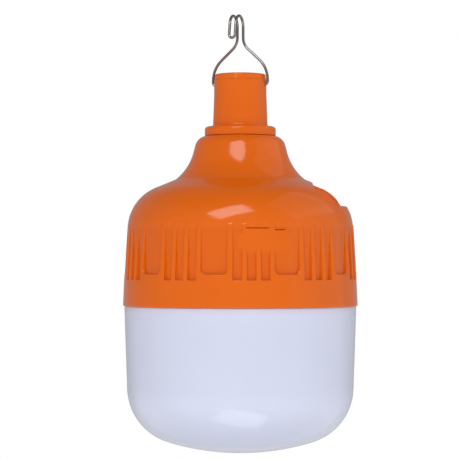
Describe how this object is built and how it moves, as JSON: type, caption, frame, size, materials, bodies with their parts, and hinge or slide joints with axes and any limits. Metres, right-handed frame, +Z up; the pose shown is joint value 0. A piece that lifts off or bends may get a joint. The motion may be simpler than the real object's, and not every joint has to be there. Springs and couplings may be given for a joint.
{
  "type": "rechargeable hanging led bulb lamp",
  "caption": "Rechargeable LED bulb lamp that hangs from a wire hook: ribbed orange plastic housing, frosted diffuser, push switch and covered charging port.",
  "frame": {"origin": "the seat of the hook: the inside of its bend at the top, where it bears on the nail, bar or rope that it hangs from", "axes": "+Z up along the lamp's axis, with the diffuser below; +X towards the control pocket; +Y makes it right-handed"},
  "size_m": [0.11, 0.1101, 0.2052],
  "materials": {
    "orange_shell": "glossy moulded ABS",
    "diffuser_white": "milky polycarbonate, satin gloss",
    "hook_steel": "drawn spring steel wire",
    "seal_silicone": "soft silicone",
    "plate_aluminium": "stamped sheet",
    "led_board_white": "white solder mask on aluminium",
    "chip_phosphor": "phosphor in a white package",
    "screw_steel": "zinc plated",
    "cell_steel": "nickel plated can",
    "wrap_blue": "heat-shrink sleeve",
    "nickel_strip": "bright nickel",
    "cradle_black": "moulded",
    "foam_grey": "closed-cell foam",
    "soft_orange": "silicone, moulded in the housing's colour",
    "socket_steel": "drawn shell",
    "socket_black": "moulded",
    "clear_plastic": "clear acrylic, frosted face",
    "led_package": "small light-emitting package",
    "board_green": "solder mask on glass-fibre board",
    "component_black": "epoxy",
    "capacitor_sleeve": "sleeved aluminium can",
    "connector_white": "nylon",
    "lead_red": "silicone insulation",
    "lead_black": "silicone insulation"
  },
  "bodies": {
    "housing": {"upper_housing": "orange_shell", "neck": "orange_shell", "neck_cap": "orange_shell", "diffuser": "diffuser_white", "diffuser_seal": "seal_silicone", "heat_plate": "plate_aluminium", "led_board": "led_board_white", "led_chips": "chip_phosphor", "plate_screws": "screw_steel", "battery_cell": "cell_steel", "battery_wrap": "wrap_blue", "positive_tab": "nickel_strip", "negative_tab": "nickel_strip", "battery_cradle": "cradle_black", "foam_pads": "foam_grey", "switch_body": "socket_black", "usb_cover_strap": "soft_orange", "usb_shell": "socket_steel", "usb_insert": "socket_black", "light_pipe": "clear_plastic", "indicator_led": "led_package", "control_board": "board_green", "board_screws": "screw_steel", "driver_chip": "component_black", "inductor": "component_black", "capacitors": "capacitor_sleeve", "resistors": "component_black", "battery_socket": "connector_white", "led_socket": "connector_white", "battery_lead_red": "lead_red", "battery_lead_black": "lead_black", "led_lead_red": "lead_red", "led_lead_black": "lead_black"},
    "bail": {"wire_hook": "hook_steel"},
    "button": {"button_cap": "soft_orange"},
    "plunger": {"switch_plunger": "cradle_black"},
    "port_cover": {"usb_cover": "soft_orange"}
  },
  "joints": [
    {"name": "hook_swing", "type": "hinge", "parent": "housing", "child": "bail", "pos_m": [0.00179, 0.00467, -0.03155], "axis": [0.9336, -0.3584, 0], "range_deg": [-120, 110]},
    {"name": "button_press", "type": "slide", "parent": "housing", "child": "button", "axis": [-0.6157, 0, -0.788], "range_m": [0, 0.0006], "stiffness_N_per_m": 3000},
    {"name": "plunger_press", "type": "slide", "parent": "housing", "child": "plunger", "axis": [-0.6157, 0, -0.788], "range_m": [0, 0.0006]},
    {"name": "cover_hinge", "type": "hinge", "parent": "housing", "child": "port_cover", "pos_m": [0.03979, 0.01317, -0.08068], "axis": [0, -1, 0], "range_deg": [0, 110]}
  ],
  "couplings": [
    {"joint": "plunger_press", "follows": "button_press", "ratio": 1}
  ]
}
